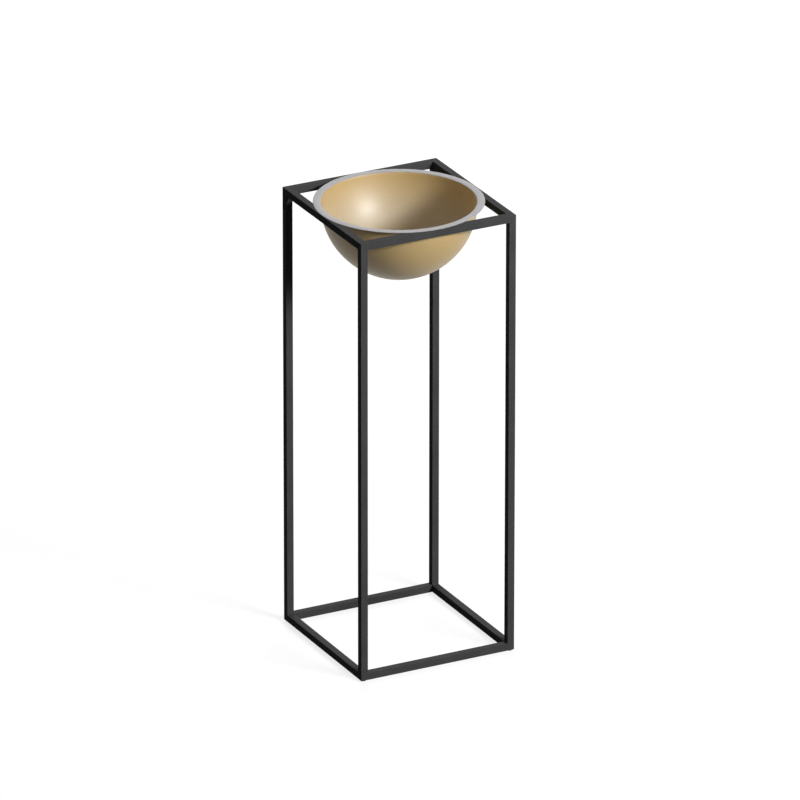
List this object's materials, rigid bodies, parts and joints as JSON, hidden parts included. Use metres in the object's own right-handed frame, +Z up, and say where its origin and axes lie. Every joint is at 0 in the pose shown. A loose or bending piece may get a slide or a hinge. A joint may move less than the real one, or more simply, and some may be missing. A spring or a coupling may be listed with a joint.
{
  "type": "plant stand",
  "caption": "Tall open plant stand: a box-shaped frame of slim black square bar carries a lift-out hemispherical gold bowl whose low, pale, half-oval rim lies on the top rails.",
  "frame": {"origin": "on the floor, under the middle of the stand", "axes": "+Z up, +X to the right and -Y to the front; the frame's four sides are square to X and Y"},
  "size_m": [0.23, 0.23, 0.6302],
  "materials": {
    "frame_coating": "black powder coat over steel bar, satin with a fine grain",
    "bowl_metal": "satin gold metallic paint over spun steel, the same inside and outside",
    "rim_metal": "pale satin grey, smooth, with no brush marks to see",
    "glide_rubber": "matt dark grey moulded rubber"
  },
  "bodies": {
    "frame": {"bottom_rail_front": "frame_coating", "bottom_rail_right": "frame_coating", "bottom_rail_back": "frame_coating", "bottom_rail_left": "frame_coating", "top_rail_front": "frame_coating", "top_rail_right": "frame_coating", "top_rail_back": "frame_coating", "top_rail_left": "frame_coating", "upright_front_left": "frame_coating", "upright_front_right": "frame_coating", "upright_back_right": "frame_coating", "upright_back_left": "frame_coating", "glide_front_left": "glide_rubber", "glide_front_right": "glide_rubber", "glide_back_right": "glide_rubber", "glide_back_left": "glide_rubber"},
    "bowl": {"bowl_shell": "bowl_metal", "rim_ring": "rim_metal"}
  },
  "joints": [
    {"name": "bowl_lift", "type": "slide", "parent": "frame", "child": "bowl", "axis": [0, 0, 1], "range_m": [0, 0.13]}
  ]
}
